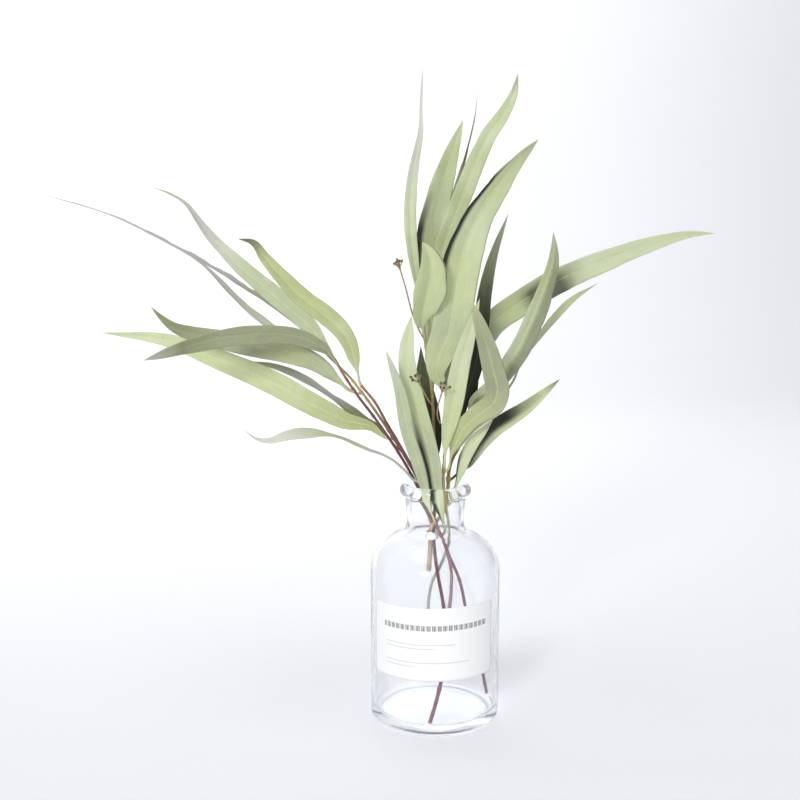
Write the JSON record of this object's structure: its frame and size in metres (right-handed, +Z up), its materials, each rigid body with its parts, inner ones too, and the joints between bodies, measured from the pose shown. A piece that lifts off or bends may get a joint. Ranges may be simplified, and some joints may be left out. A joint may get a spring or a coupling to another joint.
{
  "type": "eucalyptus branches in a glass bottle vase",
  "caption": "Spray of dried long-leaf eucalyptus stems with small bud clusters, standing in a clear glass bottle vase with a plain paper label.",
  "frame": {"origin": "centre of the bottle's underside, on the surface it stands on", "axes": "+Z up along the bottle's axis, -Y towards the front with the label, +X to the right seen from the front"},
  "size_m": [0.436, 0.13, 0.392],
  "materials": {
    "glass": "clear, polished",
    "label": null,
    "tie": "matt white string",
    "leaf_green": "dry satin leaf, pale sage green",
    "leaf_dark": "dry matt leaf, grey-green",
    "leaf_grey": "dry matt leaf, silvery grey",
    "stem_red": "smooth red-brown bark",
    "stem_tan": "smooth tan bark",
    "stem_grey": "smooth grey bark",
    "bud": "dry matt bud, olive brown"
  },
  "bodies": {
    "root": {"bottle": "glass", "label": "label", "tie": "tie", "stem_left_front": "stem_red", "stem_left_long": "stem_red", "stem_left_back": "stem_tan", "stem_centre": "stem_red", "stem_right_stub": "stem_tan", "stem_right_grey": "stem_grey", "leaf_left_kinked": "leaf_green", "leaf_left_high": "leaf_green", "leaf_left_whip": "leaf_grey", "leaf_left_grey": "leaf_grey", "leaf_left_dark": "leaf_dark", "leaf_left_under": "leaf_dark", "leaf_left_broad": "leaf_green", "leaf_left_twisted": "leaf_dark", "leaf_left_low": "leaf_grey", "leaf_centre_slim": "leaf_grey", "leaf_centre_back": "leaf_green", "leaf_centre_whip": "leaf_dark", "leaf_centre_tall": "leaf_green", "leaf_centre_short": "leaf_green", "leaf_centre_broad": "leaf_green", "leaf_centre_shade": "leaf_dark", "leaf_centre_front": "leaf_green", "leaf_centre_left": "leaf_dark", "leaf_centre_low": "leaf_green", "leaf_centre_hidden": "leaf_dark", "leaf_back_high": "leaf_green", "leaf_back_low": "leaf_dark", "leaf_right_bent": "leaf_dark", "leaf_right_long": "leaf_green", "leaf_right_tall": "leaf_dark", "leaf_right_narrow": "leaf_grey", "leaf_right_low": "leaf_dark", "leaf_right_pale": "leaf_green", "buds_high": "bud", "buds_left": "bud", "buds_right": "bud"}
  },
  "joints": []
}
